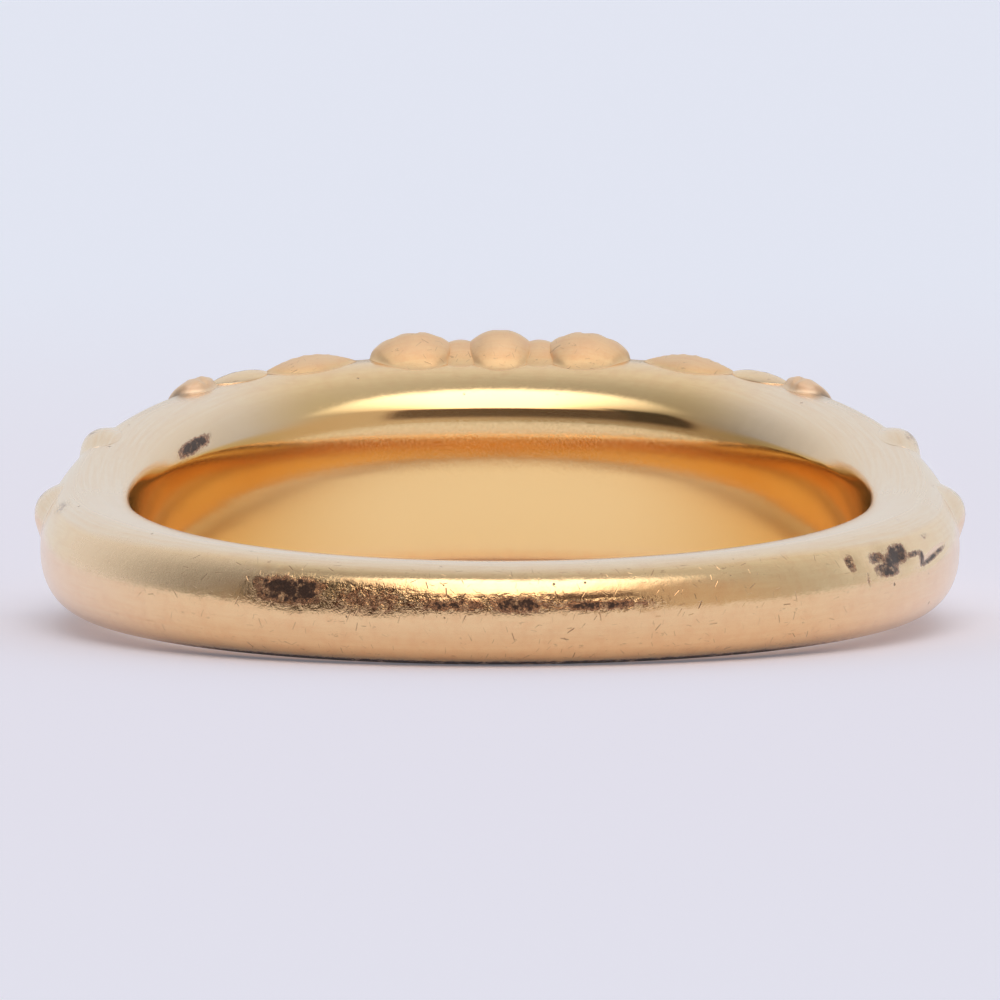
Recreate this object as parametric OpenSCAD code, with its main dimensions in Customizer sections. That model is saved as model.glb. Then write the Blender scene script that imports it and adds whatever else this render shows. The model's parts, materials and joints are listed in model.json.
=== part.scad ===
// A gold finger ring lying on its side. A plain rounded shank widens into a broad crown,
// which carries a cross of leaves and flowers in raised relief. Sizes are in millimetres.

/* [Bore] */
// Radius of the finger bore
bore_r = 8.65; // [7.5:0.05:11]
// Half the length of the straight wall in the bore, at the back
shank_land = 0.6; // [0.4:0.05:0.8]
// Reach of the straight wall above the crown's middle line, at the front
crown_land_above = 0.7; // [0.6:0.05:1.2]
// Reach of the straight wall below the crown's middle line, at the front
crown_land_below = 2.1; // [0.6:0.05:2.2]

/* [Shank] */
// Half the width of the shank at the back
shank_half = 1.15; // [1:0.01:1.6]
// Metal between the bore and the widest line of the shank
shank_inside = 1; // [0.8:0.05:1.3]
// Metal between the widest line of the shank and its outer face
shank_outside = 1.1; // [0.8:0.02:1.4]

/* [Crown] */
// Half the width of the crown's rim at the front
crown_half = 2.5; // [2.4:0.05:3]
// Rise of the crown's middle line above the shank's
crown_lift = 0.55; // [0:0.05:0.6]
// Metal between the bore and the widest line of the crown
crown_inside = 2.3; // [1.8:0.05:2.5]
// Metal between the widest line of the crown and its outer face
crown_outside = 0.3; // [0.2:0.05:0.6]
// Angle from the front at which the crown starts to narrow
flare_start = 12; // [5:1:30]
// Angle from the front at which the shank's own width is reached
flare_end = 106; // [80:1:130]
// Part of the width that is lost slowly, all the way to the back
slow_gain = 0.5; // [0:0.05:0.7]

/* [Ornament] */
// Height of the leaves and flowers, as a share of their full height
relief_share = 1; // [0.6:0.05:1.2]
// Distance of the shoulder flowers from the middle of the crown, along the band
flower_along = 8.1; // [7.5:0.1:8.5]
// Petals of a shoulder flower
petal_count = 6; // [5:1:8]

/* [Smoothness] */
// Sections through the carved front
front_sections = 112; // [60:2:120]
// Sections through the plain back
back_sections = 28; // [20:2:40]
// Steps across the outer face
outer_steps = 30; // [20:2:32]
// Steps across each rounded edge of the bore
edge_steps = 4; // [4:1:6]

/* [Hidden] */

// Reach of the carving either side of the front, as an angle
front_reach = 90;
// Angles from the front over which the crown's section turns into the shank's
blend_start = 30;
blend_end = 95;
// How square the sections are: 2 is an ellipse, and more is flatter with fuller edges
shank_inside_power = 3;
crown_inside_power = 4.2;
shank_outside_power = 2.2;
crown_outside_power = 3;
// How a rounded edge meets the rim: 0.5 is level with it, and 1 slopes up to it
shank_rim_power = 0.5;
crown_rim_power = 1;
// Share of even spacing in the steps across the outer face
even_share = 0.5;
// First step past the straight wall, as an angle on the rounded edge
edge_first = 27;
// Stock left inside the bore before it is cut true
bore_stock = 0.02;
// Radius at which distances along the band are measured
unrolled_r = 10.9;
// Length of the unrolled surface for each millimetre that it falls at the rim
rim_stretch = 0.8;

// How steeply a leaf rises at its edge: 0.5 is round, and more is flatter
leaf_fullness = 0.5;

// Colour of the metal
gold = [0.86, 0.7, 0.46];
// Facets of the tool that cuts the bore
bore_facets = 96;

// Columns of the leaf tables: place along the band, place across it, turn of the long
// axis from the band's direction, half length, half width, height, and the point of the
// ends, from 0.5 for round to 1 for sharp
ALONG = 0;
ACROSS = 1;
TURN = 2;
LENGTH = 3;
WIDTH = 4;
HEIGHT = 5;
POINT = 6;

// One quarter of the cross: its eye, the upright arm and the three lobes at its end, a
// leaf between the arms, the level arm and its lobes, and a low leaf on the rim
cross_leaves = [
    [0,    0,    0,  0.72, 0.72, 0.58, 0.5],
    [0,    1.3,  90, 0.85, 0.46, 0.4,  0.5],
    [0,    2.35, 90, 1.5,  1.25, 0.66, 0.5],
    [2.1,  2.3,  80, 1.45, 1.12, 0.66, 0.5],
    [1.3,  1.2,  45, 0.8,  0.38, 0.34, 0.9],
    [1.9,  0,    0,  1.5,  0.46, 0.4,  0.5],
    [4.55, 0,    0,  1.15, 0.74, 0.46, 0.6],
    [3.75, 1.1,  60, 0.95, 0.57, 0.42, 0.5],
    [4.75, 2.55, 10, 1.3,  0.75, 0.24, 0.6],
];

// One petal and the eye of a shoulder flower
petal_offset = 1.6;
petal_half_length = 1.3;
petal_half_width = 0.95;
petal_height = 0.5;
petal_point = 0.55;
eye_half = 0.64;
eye_height = 0.6;

// The buds between each flower and the shank
buds = [
    [12.6, 2.1,  20,  0.44, 0.42, 0.38, 0.5],
    [13.6, -1.1, -20, 0.55, 0.4,  0.34, 0.5],
    [16.4, 0.85, 0,   0.42, 0.55, 0.36, 0.5],
];

flower_leaves = [
    for (i = [0 : petal_count - 1])
        let (turn = 360 * (i + 0.5) / petal_count)
        [
            flower_along + petal_offset * cos(turn),
            petal_offset * sin(turn),
            turn,
            petal_half_length,
            petal_half_width,
            petal_height,
            petal_point
        ],
    [flower_along, 0, 0, eye_half, eye_half, eye_height, 0.5]
];

side_leaves = concat(flower_leaves, buds);

function clamped(x) = min(1, max(0, x));
function eased(x) = let (c = clamped(x)) c * c * (3 - 2 * c);
function mixed(shank, crown, share) = shank + (crown - shank) * share;

// Share of the crown in the section at an angle from the front
function crown_share(angle) =
    1 - eased((abs(angle) - blend_start) / (blend_end - blend_start));

// Share of the crown's full width at an angle from the front
function flare(angle) =
    (1 + cos(180 * clamped((abs(angle) - flare_start) / (flare_end - flare_start)))) / 2;

// Half the width of the band at an angle from the front
function half_width(angle) =
    shank_half
    + slow_gain * (1 + cos(angle)) / 2
    + (crown_half - shank_half - slow_gain) * flare(angle);

// Height of a leaf above the band, as a dome over its outline
function leaf_height(leaf, along, across) =
    let (
        x = along - leaf[ALONG],
        y = across - leaf[ACROSS],
        u = (x * cos(leaf[TURN]) + y * sin(leaf[TURN])) / leaf[LENGTH],
        v = (y * cos(leaf[TURN]) - x * sin(leaf[TURN])) / leaf[WIDTH],
        taper = 1 - u * u,
        rest = taper <= 0 ? 0 : taper * (1 - pow(v / pow(taper, leaf[POINT]), 2))
    )
    rest > 0 ? leaf[HEIGHT] * pow(rest, leaf_fullness) : 0;

// Height of the whole relief at a place on the unrolled band
function relief(along, across) =
    relief_share * max(
        max([for (leaf = cross_leaves) leaf_height(leaf, abs(along), abs(across))]),
        max([for (leaf = side_leaves) leaf_height(leaf, abs(along), across)])
    );

// Steps across the outer face, from the lower rim at -1 to the upper rim at 1
outer_shares = [
    for (i = [0 : outer_steps])
        let (u = 2 * i / outer_steps - 1)
        even_share * u + (1 - even_share) * sin(90 * u)
];

// Steps down a rounded edge of the bore, from just inside the rim to the straight wall
edge_shares = [
    for (i = [1 : edge_steps])
        sin(90 - (90 - edge_first) * i / edge_steps),
    0
];
edge_count = len(edge_shares);

// Points of one section, as [radius, height, distance across the unrolled band]
function outer_point(share, middle_line, half, inside, outside, power) =
    let (
        rise = outside * sqrt(1 - pow(abs(share), power)),
        height = half * share
    )
    [
        bore_r + inside + rise,
        middle_line + height,
        sign(share) * (abs(height) + rim_stretch * (outside - rise))
    ];

function edge_point(share, side, land, middle_line, half, inside, outside, power, rim_power) =
    let (
        depth = inside * pow(1 - pow(share, power), rim_power),
        height = land + (half - land) * share
    )
    [
        bore_r + inside - depth - (share == 0 ? bore_stock : 0),
        middle_line + side * height,
        side * (2 * half - height + rim_stretch * (outside + depth))
    ];

function plain_section(angle) =
    let (
        share = crown_share(angle),
        middle_line = crown_lift * flare(angle),
        half = half_width(angle),
        land_above = mixed(shank_land, crown_land_above, share),
        land_below = mixed(shank_land, crown_land_below, share),
        inside = mixed(shank_inside, crown_inside, share),
        outside = mixed(shank_outside, crown_outside, share),
        inside_power = mixed(shank_inside_power, crown_inside_power, share),
        rim_power = mixed(shank_rim_power, crown_rim_power, share),
        outside_power = mixed(shank_outside_power, crown_outside_power, share)
    )
    [
        for (s = outer_shares)
            outer_point(s, middle_line, half, inside, outside, outside_power),
        for (s = edge_shares)
            edge_point(
                s, 1, land_above, middle_line, half, inside, outside, inside_power, rim_power
            ),
        for (i = [edge_count - 1 : -1 : 0])
            edge_point(
                edge_shares[i], -1, land_below, middle_line, half, inside, outside, inside_power,
                rim_power
            )
    ];

row_count = outer_steps + 1 + 2 * edge_count;

// A section with the relief raised square to its surface, set round the bore's axis
function carved_section(angle) =
    let (
        section = plain_section(angle),
        along = unrolled_r * angle * PI / 180
    )
    [
        for (i = [0 : row_count - 1])
            let (
                here = section[i],
                after = section[(i + 1) % row_count],
                before = section[(i + row_count - 1) % row_count],
                run = [after[0] - before[0], after[1] - before[1]],
                raised = relief(along, here[2]) / norm(run),
                radius = here[0] + run[1] * raised
            )
            [radius * sin(angle), radius * cos(angle), here[1] - run[0] * raised]
    ];

// Angles of the sections, close together over the carved front
section_angles = [
    for (i = [0 : front_sections - 1])
        front_reach * (2 * i / front_sections - 1),
    for (i = [0 : back_sections - 1])
        let (angle = front_reach + (360 - 2 * front_reach) * i / back_sections)
        angle > 180 ? angle - 360 : angle
];
column_count = len(section_angles);

ring_points = [for (angle = section_angles) each carved_section(angle)];

// Two triangles for each patch, split so that the four quarters of the crown match
ring_faces = [
    for (i = [0 : column_count - 1], j = [0 : row_count - 1])
        let (
            next_i = (i + 1) % column_count,
            next_j = (j + 1) % row_count,
            a = i * row_count + j,
            b = i * row_count + next_j,
            c = next_i * row_count + next_j,
            d = next_i * row_count + j,
            left = i < front_sections / 2,
            lower = j < outer_steps / 2
        )
        each left == lower ? [[a, c, b], [a, d, c]] : [[a, d, b], [b, d, c]]
];

// The lowest point of the front or of the back, as [depth, height], with the ring tilted
function height_at(point, tilt) = point.y * sin(tilt) + point.z * cos(tilt);
function lowest(points, tilt) =
    let (
        heights = [for (p = points) height_at(p, tilt)],
        low = min(heights),
        found = [for (i = [0 : len(points) - 1]) if (heights[i] == low) points[i]]
    )
    found[0];

front_points = [for (p = ring_points) if (p.y > 0) p];
back_points = [for (p = ring_points) if (p.y < 0) p];

// The tilt at which the crown and the back of the shank both touch the surface
function rest_tilt(tilt, rounds) =
    rounds == 0 ? tilt :
    let (
        front = lowest(front_points, tilt),
        back = lowest(back_points, tilt)
    )
    rest_tilt(atan2(back.z - front.z, front.y - back.y), rounds - 1);

first_tilt = 7;
tilt_rounds = 3;
tilt = rest_tilt(first_tilt, tilt_rounds);
heights = [for (p = ring_points) height_at(p, tilt)];
depths = [for (p = ring_points) p.y * cos(tilt) - p.z * sin(tilt)];
drop = min(heights);
middle = (min(depths) + max(depths)) / 2;

module carved_band() {
    polyhedron(points = ring_points, faces = ring_faces, convexity = 6);
}

module finger_bore() {
    cylinder(h = 4 * crown_half, r = bore_r, center = true, $fn = bore_facets);
}

module ring() {
    color(gold)
        translate([0, -middle, -drop])
            rotate([tilt, 0, 0])
                difference() {
                    carved_band();
                    finger_bore();
                }
}

ring();
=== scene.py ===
"""A gold finger ring with a cross of leaves and flowers, lying on its side on a pale floor."""

import json
import math
from types import SimpleNamespace
from typing import NamedTuple

import bpy
import numpy as np
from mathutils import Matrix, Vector


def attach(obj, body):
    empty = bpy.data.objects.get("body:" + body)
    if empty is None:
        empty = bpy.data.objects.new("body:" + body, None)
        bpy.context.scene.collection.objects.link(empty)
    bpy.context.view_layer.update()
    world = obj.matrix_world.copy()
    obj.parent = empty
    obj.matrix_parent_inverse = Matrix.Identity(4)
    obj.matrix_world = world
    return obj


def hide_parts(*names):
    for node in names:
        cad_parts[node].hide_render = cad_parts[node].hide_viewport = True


bl_info = {
    "name": "Floral Cross Ring",
    "version": (1, 0, 0),
    "blender": (4, 5, 0),
    "location": "3D View > Sidebar > Ring",
    "description": "Makes a gold ring with a cross of leaves and flowers, and its studio",
    "category": "Object",
}

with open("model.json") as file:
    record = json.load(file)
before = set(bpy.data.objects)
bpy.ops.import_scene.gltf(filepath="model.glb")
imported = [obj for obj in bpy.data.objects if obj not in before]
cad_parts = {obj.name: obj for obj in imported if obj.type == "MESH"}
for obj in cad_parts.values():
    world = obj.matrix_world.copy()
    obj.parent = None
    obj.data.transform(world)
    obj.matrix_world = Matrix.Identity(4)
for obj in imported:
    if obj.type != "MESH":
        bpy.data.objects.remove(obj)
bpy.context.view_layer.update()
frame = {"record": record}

MM = 0.001
BODY = "root"
NODE = "ring"

bore = frame["record"]["mounts"][0]
BORE_CENTRE = np.array(bore["pos_m"])
BORE_TILT = math.atan2(-bore["axis"][1], bore["axis"][2])
BORE_RADIUS = bore["dims"]["r_mm"] * MM

# Names of the values that a mesh keeps for its material
PLACE = "band"
RECESS = "recess"
# Wear marks with painted shade: the dark reflection on the shank's face, the shade on the buds and the
# contact line
WEAR_AND_PAINTED_SHADE = "wear"
DULL = "dull"
OUTSIDE = "outside"
PAINTED_SHEEN = "pale"
LIFT = "lift"
CROWN = "crown"

# Powers that round the face, at the shank and at the crown, and the inner edge at the back,
# with what that gains before an angle, given as start and reach in degrees
FACE_POWERS = (2.2, 3)
BACK_EDGE_POWER = 3
EDGE_POWER_GAIN = 2.5
EDGE_POWER_TURNS = (95, 60)

# The crown's edges, as shares of the edge's height and depth: depth of the barrel of the
# bore wall, start, slope and softness of the chamfer, bend above it, start of the corner
BARREL = 0.085
CHAMFER_START = 0.592
CHAMFER_SLOPE = 0.707
CHAMFER_SOFTNESS = 0.036
BEND = 0.292
CORNER_START = 0.75
# Powers that round the bend, the upper rim and the lower corner
BEND_POWER = 7
RIM_POWER = 24
CORNER_POWER = 4

# How much the rows crowd towards the rims, on the face and on the edges
FACE_CROWDING = 0.5
EDGE_CROWDING = 0.6
# Width over which tarnish ends at the rim
RIM_FADE = 0.4 * MM
# How far tarnish reaches from a leaf over the ground, in millimetres
RECESS_REACH = 0.25

# Painted sheen, the pale tent mirrored on the upper flanks and the ring's sides: where it starts and
# ends round the ring, as start and reach in degrees, the slope at which a flank turns pale, how much
# further that reaches at the sides, on the inner edge and on the leaves, its softness, and the least
# sheen at the sides
PALE_FROM_CROWN = (27, 20)
PALE_PAST_SIDES = (115, 30)
PALE_SLOPE = 0.78
PALE_SIDE_REACH = 0.2
PALE_INNER_REACH = 0.4
PALE_LEAF_REACH = 0.45
PALE_SOFTNESS = 0.2
PALE_SIDES = 0.5

# Painted shade low on the shank, a dark line that stands for the contact shadow seen in the metal:
# where it fades along the band, in millimetres, and the slope and the rise that it needs, the first two
# as start and reach
CONTACT_SHADE_FADE = (5, 8)
CONTACT_SHADE_SLOPE = (0.83, 0.1)
CONTACT_SHADE_RISE = 0.05

# Where the crown's colour in the bore fades into the shank's deeper orange, a painted reflection, as
# start and reach in degrees
CROWN_FADE = (15, 45)

# How far a leaf's outline is sunk in the band, in millimetres, and its least taper
LEAF_SINK = 0.015
LEAST_TAPER = 0.0002
# How quickly a leaf leaves the hollow and the tarnish at its foot, how quickly its groove and
# its lift grow, and how quickly a soft end turns plain
FOOT = 4
FOOT_TARNISH = 3
GROOVE_GAIN = 2
LIFT_GAIN = 1.6
PLAIN_END = 4
# Width of a leaf's groove, then depth, count and slant of its veins and half width of its rib
GROOVE_WIDTH = 0.16
VEIN_DEPTH = 0.25
VEIN_WAVES = 9
VEIN_SLANT = 0.7
RIB = 0.05

# Powers that flatten a dent and a worn place
DENT_POWER = 2
WORN_POWER = 3

# Shares of the stains, the dirt and the colours laid over the gold; the pale colour on flanks and
# raised leaves is painted sheen
PIT_DIRT = 0.7
SCRATCH_STAIN = 0.75
SPECK_STAIN = 0.35
PAINTED_SHEEN_COLOUR = 0.62
DULL_COLOUR = 0.7
LIFT_PAINTED_SHEEN = 0.55

# Roughness added on the crown, on the flanks, in the matt zone and by dirt, and the share of
# the relief's roughness at the foot of a leaf
CROWN_ROUGHNESS = 0.04
PALE_ROUGHNESS = 0.1
DULL_ROUGHNESS = 0.08
DIRT_ROUGHNESS = 0.35
FOOT_ROUGHNESS = 0.75

# Heights in millimetres: pits, dimples of the matted ground, worn places and cast skin, then
# the close ripples and the brush lines as shares of the broad ripples
PIT_DEPTH = 0.03
DIMPLE_DEPTH = 0.03
WORN_HEIGHT = 0.035
CAST_HEIGHT = 0.03
CLOSE_RIPPLE = 1.2
BRUSH_LINES = 0.16

# The pale film over the gold: what the relief and the flanks add, its roughness and IOR,
# then how metallic the bore is
RELIEF_FILM = 0.05
PALE_FILM = 0.5
FILM_ROUGHNESS = 0.3
FILM_IOR = 1.8
BORE_METALLIC = 0.91

# The light tent's windows, in degrees: left, right and softness, then low, high and softness
WIDE_OPENING = ((-62, 35, 4), (5, 42, 3))
TALL_OPENING = ((-62, -38, 3), (5, 52, 4))
LAMP = ((-21, 24, 14), (9, 47, 3))
# How dark the openings are, and the front walls' brightness at the left and right
WIDE_DARKNESS = 0.82
TALL_DARKNESS = 0.94
FRONT = (0.38, 0.66)

# Radii in millimetres over which the floor's colour changes, near the ring and far away
FLOOR_NEAR = (7, 10)
FLOOR_FAR = (10, 160)
FLOOR_CORNERS = 96
SENSOR_WIDTH = 36
CLIP_START = 0.01


# Settings


def setting(name, description, default, **limits):
    """A number that a user can change."""
    return bpy.props.FloatProperty(name=name, description=description, default=default, **limits)


def length(name, description, millimetres):
    """A length, given here in millimetres."""
    return setting(name, description, millimetres * MM, min=0, unit="LENGTH", precision=5)


def angle(name, description, degrees):
    """An angle, given here in degrees."""
    return setting(name, description, math.radians(degrees), subtype="ANGLE")


def share(name, description, default):
    """A share from nothing to all."""
    return setting(name, description, default, min=0, max=1, subtype="FACTOR")


def number(name, description, default):
    """A plain number with no unit."""
    return setting(name, description, default, min=0)


def count(name, description, default):
    """A whole number of steps or pieces."""
    return bpy.props.IntProperty(name=name, description=description, default=default, min=3)


def colour(name, thing, default):
    """The colour of a thing, in linear light."""
    description = f"Colour of the {thing}"
    return bpy.props.FloatVectorProperty(
        name=name, description=description, default=default, size=3, min=0, max=1, subtype="COLOR"
    )


class RingSizes(bpy.types.PropertyGroup):
    """Sizes of the band and its relief."""

    shank_land: length("Shank Bore Wall", "Half the straight bore wall at the back", 0.6)
    shank_half: length("Shank Half Width", "Half the width of the shank at the back", 1.15)
    shank_inside: length("Shank Inside", "Metal from the bore to the shank's widest line", 1)
    shank_outside: length("Shank Outside", "Metal from the widest line to the shank's face", 1.1)
    crown_half: length("Crown Half Width", "Half the width of the crown's rim", 2.5)
    crown_lift: length("Crown Lift", "Rise of the crown's middle line above the shank's", 0.55)
    crown_inside: length("Crown Inside", "Metal from the bore to the crown's widest line", 2.3)
    crown_outside: length("Crown Outside", "Metal from the widest line to the crown's face", 0.3)
    slow_gain: length("Slow Gain", "Half width that is lost slowly, all the way round", 0.5)
    flare_start: angle("Flare Start", "Angle at which the crown starts to narrow", 12)
    flare_end: angle("Flare End", "Angle at which the shank's width is reached", 106)
    blend_start: angle("Blend Start", "Angle at which the crown's section starts to change", 30)
    blend_end: angle("Blend End", "Angle at which the section is the shank's", 95)
    unrolled_radius: length("Unrolled Radius", "Radius at which the band is measured", 10.9)
    rim_stretch: number("Rim Stretch", "Unrolled length for each length of fall at the rim", 0.8)
    flower_along: length("Flower Place", "From the crown's middle to a shoulder flower", 8.1)
    petal_count: count("Petals", "Petals of a shoulder flower", 6)
    column_count: count("Columns", "Sections round the band", 500)
    face_steps: count("Face Steps", "Steps across the outer face", 90)
    edge_steps: count("Edge Steps", "Steps across each rounded edge of the bore", 36)
    leaf_length_steps: count("Leaf Length Steps", "Steps along a leaf", 56)
    leaf_width_steps: count("Leaf Width Steps", "Steps across a leaf", 32)


class RingFinish(bpy.types.PropertyGroup):
    """Colours and wear of the gold."""

    gold: colour("Gold", "polished gold", (1, 0.69, 0.36))
    deep_gold: colour("Deep Gold", "gold where it has dulled", (0.92, 0.55, 0.27))
    # Painted sheen: the pale tent mirrored on the upper flanks, the ring's sides and the raised leaves
    painted_sheen_gold: colour("Pale Gold", "worn flanks of the shank", (0.95, 0.79, 0.63))
    bore_gold: colour("Bore Gold", "bore's wall in the crown", (1, 0.705, 0.345))
    # Painted reflection: the shank's bore is a deeper orange that stands for light bounced between the
    # gold walls
    bore_painted_bounce_gold: colour("Dull Bore Gold", "bore's wall in the shank", (0.88, 0.5, 0.14))
    # The tarnish also paints the black of the dark reflection on the shank's face and of the contact
    # line, as painted shade
    tarnish: colour("Tarnish", "dirt in pits and recesses", (0.085, 0.05, 0.035))
    dull_gold: colour("Dull Gold", "broad matt zone on the shank", (1, 0.7, 0.43))
    # The stain also paints the brown of the dark reflections on the shank and the buds and of the
    # contact line, as painted shade
    stain: colour("Stain", "brown film in scratches and worn spots", (0.3, 0.12, 0.06))
    roughness: share("Roughness", "Roughness of the polished gold", 0.16)
    relief_roughness: share("Relief Roughness", "Roughness of the cast relief", 0.58)
    bore_roughness: share("Bore Roughness", "Roughness of the bore's wall", 0.09)
    film: share("Film", "Thin pale film that dulls the gold at low angles", 0.26)
    scratch_depth: length("Scratch Depth", "Depth of a scratch", 0.006)
    ripple_height: length("Ripple Height", "Height of the soft ripples left by wear", 0.008)


class StudioSettings(bpy.types.PropertyGroup):
    """Floor, light and camera."""

    floor_inside: colour("Floor Inside", "floor lit by the gold", (0.95, 0.95, 0.97))
    floor_near: colour("Floor Near", "floor by the ring", (0.83, 0.825, 0.935))
    floor_far: colour("Floor Far", "floor far away", (0.835, 0.88, 1))
    floor_glow: share("Floor Glow", "Light that comes up through the floor", 0.16)
    backdrop: colour("Backdrop", "space beyond the floor", (0.775, 0.8, 0.913))
    tent: colour("Tent", "light from the tent's walls", (0.9, 0.95, 1))
    front: colour("Front", "tent's dimmer walls in front", (1, 0.86, 0.74))
    opening: colour("Opening", "dim light in the tent's opening", (1, 0.68, 0.58))
    tent_strength: number("Tent Strength", "Brightness of the tent's walls", 0.83)
    top_strength: number("Top Strength", "Brightness added by the light above", 2.3)
    floor_radius: length("Floor Radius", "Radius of the floor", 3000)
    camera_distance: length("Camera Distance", "From the ring to the camera", 200)
    camera_height: angle("Camera Height", "Angle of the camera above the floor", 4.9)
    focal_length: number("Focal Length", "Focal length of the lens in millimetres", 307.4)
    aim_rise: length("Aim Rise", "How far above the bore's centre the camera aims", 1.089)


# The band


def eased(x):
    """A smooth step from 0 to 1."""
    c = np.clip(x, 0, 1)
    return c * c * (3 - 2 * c)


def eased_turn(turn, start, reach):
    """A smooth step from 0 at an angle to 1 after a reach, both in degrees."""
    return eased((turn - math.radians(start)) / math.radians(reach))


def section_at(sizes, turn):
    """The sizes of the plain section at each angle from the front."""
    away = np.abs(turn)
    crown = 1 - eased((away - sizes.blend_start) / (sizes.blend_end - sizes.blend_start))
    past = np.clip((away - sizes.flare_start) / (sizes.flare_end - sizes.flare_start), 0, 1)
    flare = (1 + np.cos(np.pi * past)) / 2
    slow = sizes.slow_gain * (1 + np.cos(turn)) / 2

    def mixed(at_shank, at_crown):
        return at_shank + (at_crown - at_shank) * crown

    return SimpleNamespace(
        middle=sizes.crown_lift * flare,
        half=sizes.shank_half + slow + (sizes.crown_half - sizes.shank_half - sizes.slow_gain) * flare,
        land=sizes.shank_land / sizes.shank_half,
        crown=crown,
        inside=mixed(sizes.shank_inside, sizes.crown_inside),
        outside=mixed(sizes.shank_outside, sizes.crown_outside),
        outside_power=mixed(*FACE_POWERS),
        edge_power=BACK_EDGE_POWER + EDGE_POWER_GAIN * (1 - eased_turn(away, *EDGE_POWER_TURNS)),
        stretch=sizes.rim_stretch,
    )


def face_point(s, part):
    """Radius, height and unrolled distance on the face, from the lower rim, -1, to the upper, 1."""
    rise = s.outside * np.sqrt(np.maximum(1 - np.abs(part) ** s.outside_power, 0))
    across = np.sign(part) * (s.half * np.abs(part) + s.stretch * (s.outside - rise))
    return BORE_RADIUS + s.inside + rise, s.middle + s.half * part, across


def shank_edge(part, land, power):
    """How far a plain inner edge has left the bore's wall, from 0 to 1 at the rim."""
    past = np.clip((part - land) / (1 - land), 0, 1)
    return 1 - np.sqrt(np.maximum(1 - past**power, 0))


def crown_upper_edge(part):
    """The same for the crown's upper edge: a slight barrel, a soft chamfer, then a rounded rim."""
    past = part - CHAMFER_START
    chamfer = CHAMFER_SLOPE * (past + np.sqrt(past**2 + CHAMFER_SOFTNESS**2)) / 2
    bend = BEND * part**BEND_POWER
    rim_share = 1 - CHAMFER_SLOPE * (1 - CHAMFER_START) - BEND
    rim = rim_share * (1 - np.sqrt(np.maximum(1 - part**RIM_POWER, 0)))
    return BARREL * part**2 + (1 - BARREL) * (chamfer + bend + rim)


def edge_point(s, part, side):
    """Radius, height and unrolled distance inside, from the bore's middle, 0, to the rim, 1."""
    # The crown's lower edge has a straight wall and a tight corner
    lower = shank_edge(part, CORNER_START, CORNER_POWER)
    crown_edge = np.where(side > 0, crown_upper_edge(part), lower)
    rise = s.inside * (shank_edge(part, s.land, s.edge_power) * (1 - s.crown) + crown_edge * s.crown)
    across = side * (2 * s.half - s.half * part + s.stretch * (s.outside + s.inside - rise))
    return BORE_RADIUS + rise, s.middle + side * s.half * part, across


def solved(function, target, halvings=40):
    """Where a rising function of a share reaches a target, by halving."""
    low, high = np.zeros_like(target), np.ones_like(target)
    for _ in range(halvings):
        middle = (low + high) / 2
        under = function(middle) < target
        low, high = np.where(under, middle, low), np.where(under, high, middle)
    return (low + high) / 2


def section_point(s, across):
    """Radius and height of a place given by its distance across the unrolled band."""
    away = np.abs(across)
    side = np.where(across < 0, -1, 1)
    face = solved(lambda p: face_point(s, p)[2], away)
    fall = solved(lambda p: np.abs(edge_point(s, 1 - p, side)[2]), away)
    face_r, face_z, _ = face_point(s, side * face)
    edge_r, edge_z, _ = edge_point(s, 1 - fall, side)
    before_rim = away < s.half + s.stretch * s.outside
    return np.where(before_rim, face_r, edge_r), np.where(before_rim, face_z, edge_z)


def band_slope(s, across):
    """How the band runs outwards and upwards at a place, as a direction."""
    small = 0.02 * MM
    after, before = section_point(s, across + small), section_point(s, across - small)
    run_r, run_z = after[0] - before[0], after[1] - before[1]
    run = np.hypot(run_r, run_z)
    return run_r / run, run_z / run


def upright(turn, radius, level):
    """A point from its angle from the front, its radius and its height."""
    return np.stack(np.broadcast_arrays(radius * np.sin(turn), radius * np.cos(turn), level), -1)


def lying(points):
    """Points of the upright ring, tilted and placed as the ring lies."""
    x, y, z = points[..., 0], points[..., 1], points[..., 2]
    c, s = math.cos(BORE_TILT), math.sin(BORE_TILT)
    return np.stack([x, c * y - s * z, s * y + c * z], -1) + BORE_CENTRE


def painted_sheen(turn, outwards, upwards, outside=1, reach=0):
    """Painted sheen, the pale tent mirrored in the gold: how pale it is, 1 on the upper flank, half at
    the ring's two sides and 0 elsewhere.
    """
    away = np.abs(turn)
    at_side = 1 - eased_turn(away, *PALE_PAST_SIDES)
    reach = PALE_SIDE_REACH * at_side + PALE_INNER_REACH * (upwards < 0) + reach
    flank = eased((reach - PALE_SLOPE - outwards) / PALE_SOFTNESS)
    return np.maximum(flank, PALE_SIDES * at_side * outside) * eased_turn(away, *PALE_FROM_CROWN)


def painted_contact_shade(from_back, outwards, upwards):
    """Painted shade: a dark line low on the shank, standing for the contact shadow seen in the metal,
    fading from the back towards the sides.
    """
    start, reach = CONTACT_SHADE_FADE
    at_back = 1 - eased((np.abs(from_back) / MM - start) / reach)
    start, reach = CONTACT_SHADE_SLOPE
    return at_back * eased((outwards - start) / reach) * eased(upwards / CONTACT_SHADE_RISE)


class Mark(NamedTuple):
    """A soft mark on the band, in millimetres from the middle of the shank's back."""

    along: float
    across: float
    half_length: float
    half_width: float
    strength: float
    turn: float = 0.0


# Shallow dents, whose strength is their depth in millimetres
DENTS = (
    Mark(-4.9, 0.5, 0.9, 0.45, 0.05),
    Mark(-3.0, 0.45, 0.9, 0.4, 0.035),
    Mark(-1.1, 0.75, 0.8, 0.3, 0.012),
    Mark(9.2, 0.85, 0.2, 0.25, 0.05),
    Mark(10.4, 0.85, 0.4, 0.35, 0.1),
    Mark(11.2, 0.7, 0.35, 0.35, 0.08),
    Mark(13.1, 0.45, 0.8, 0.12, 0.06, 8),
)
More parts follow.
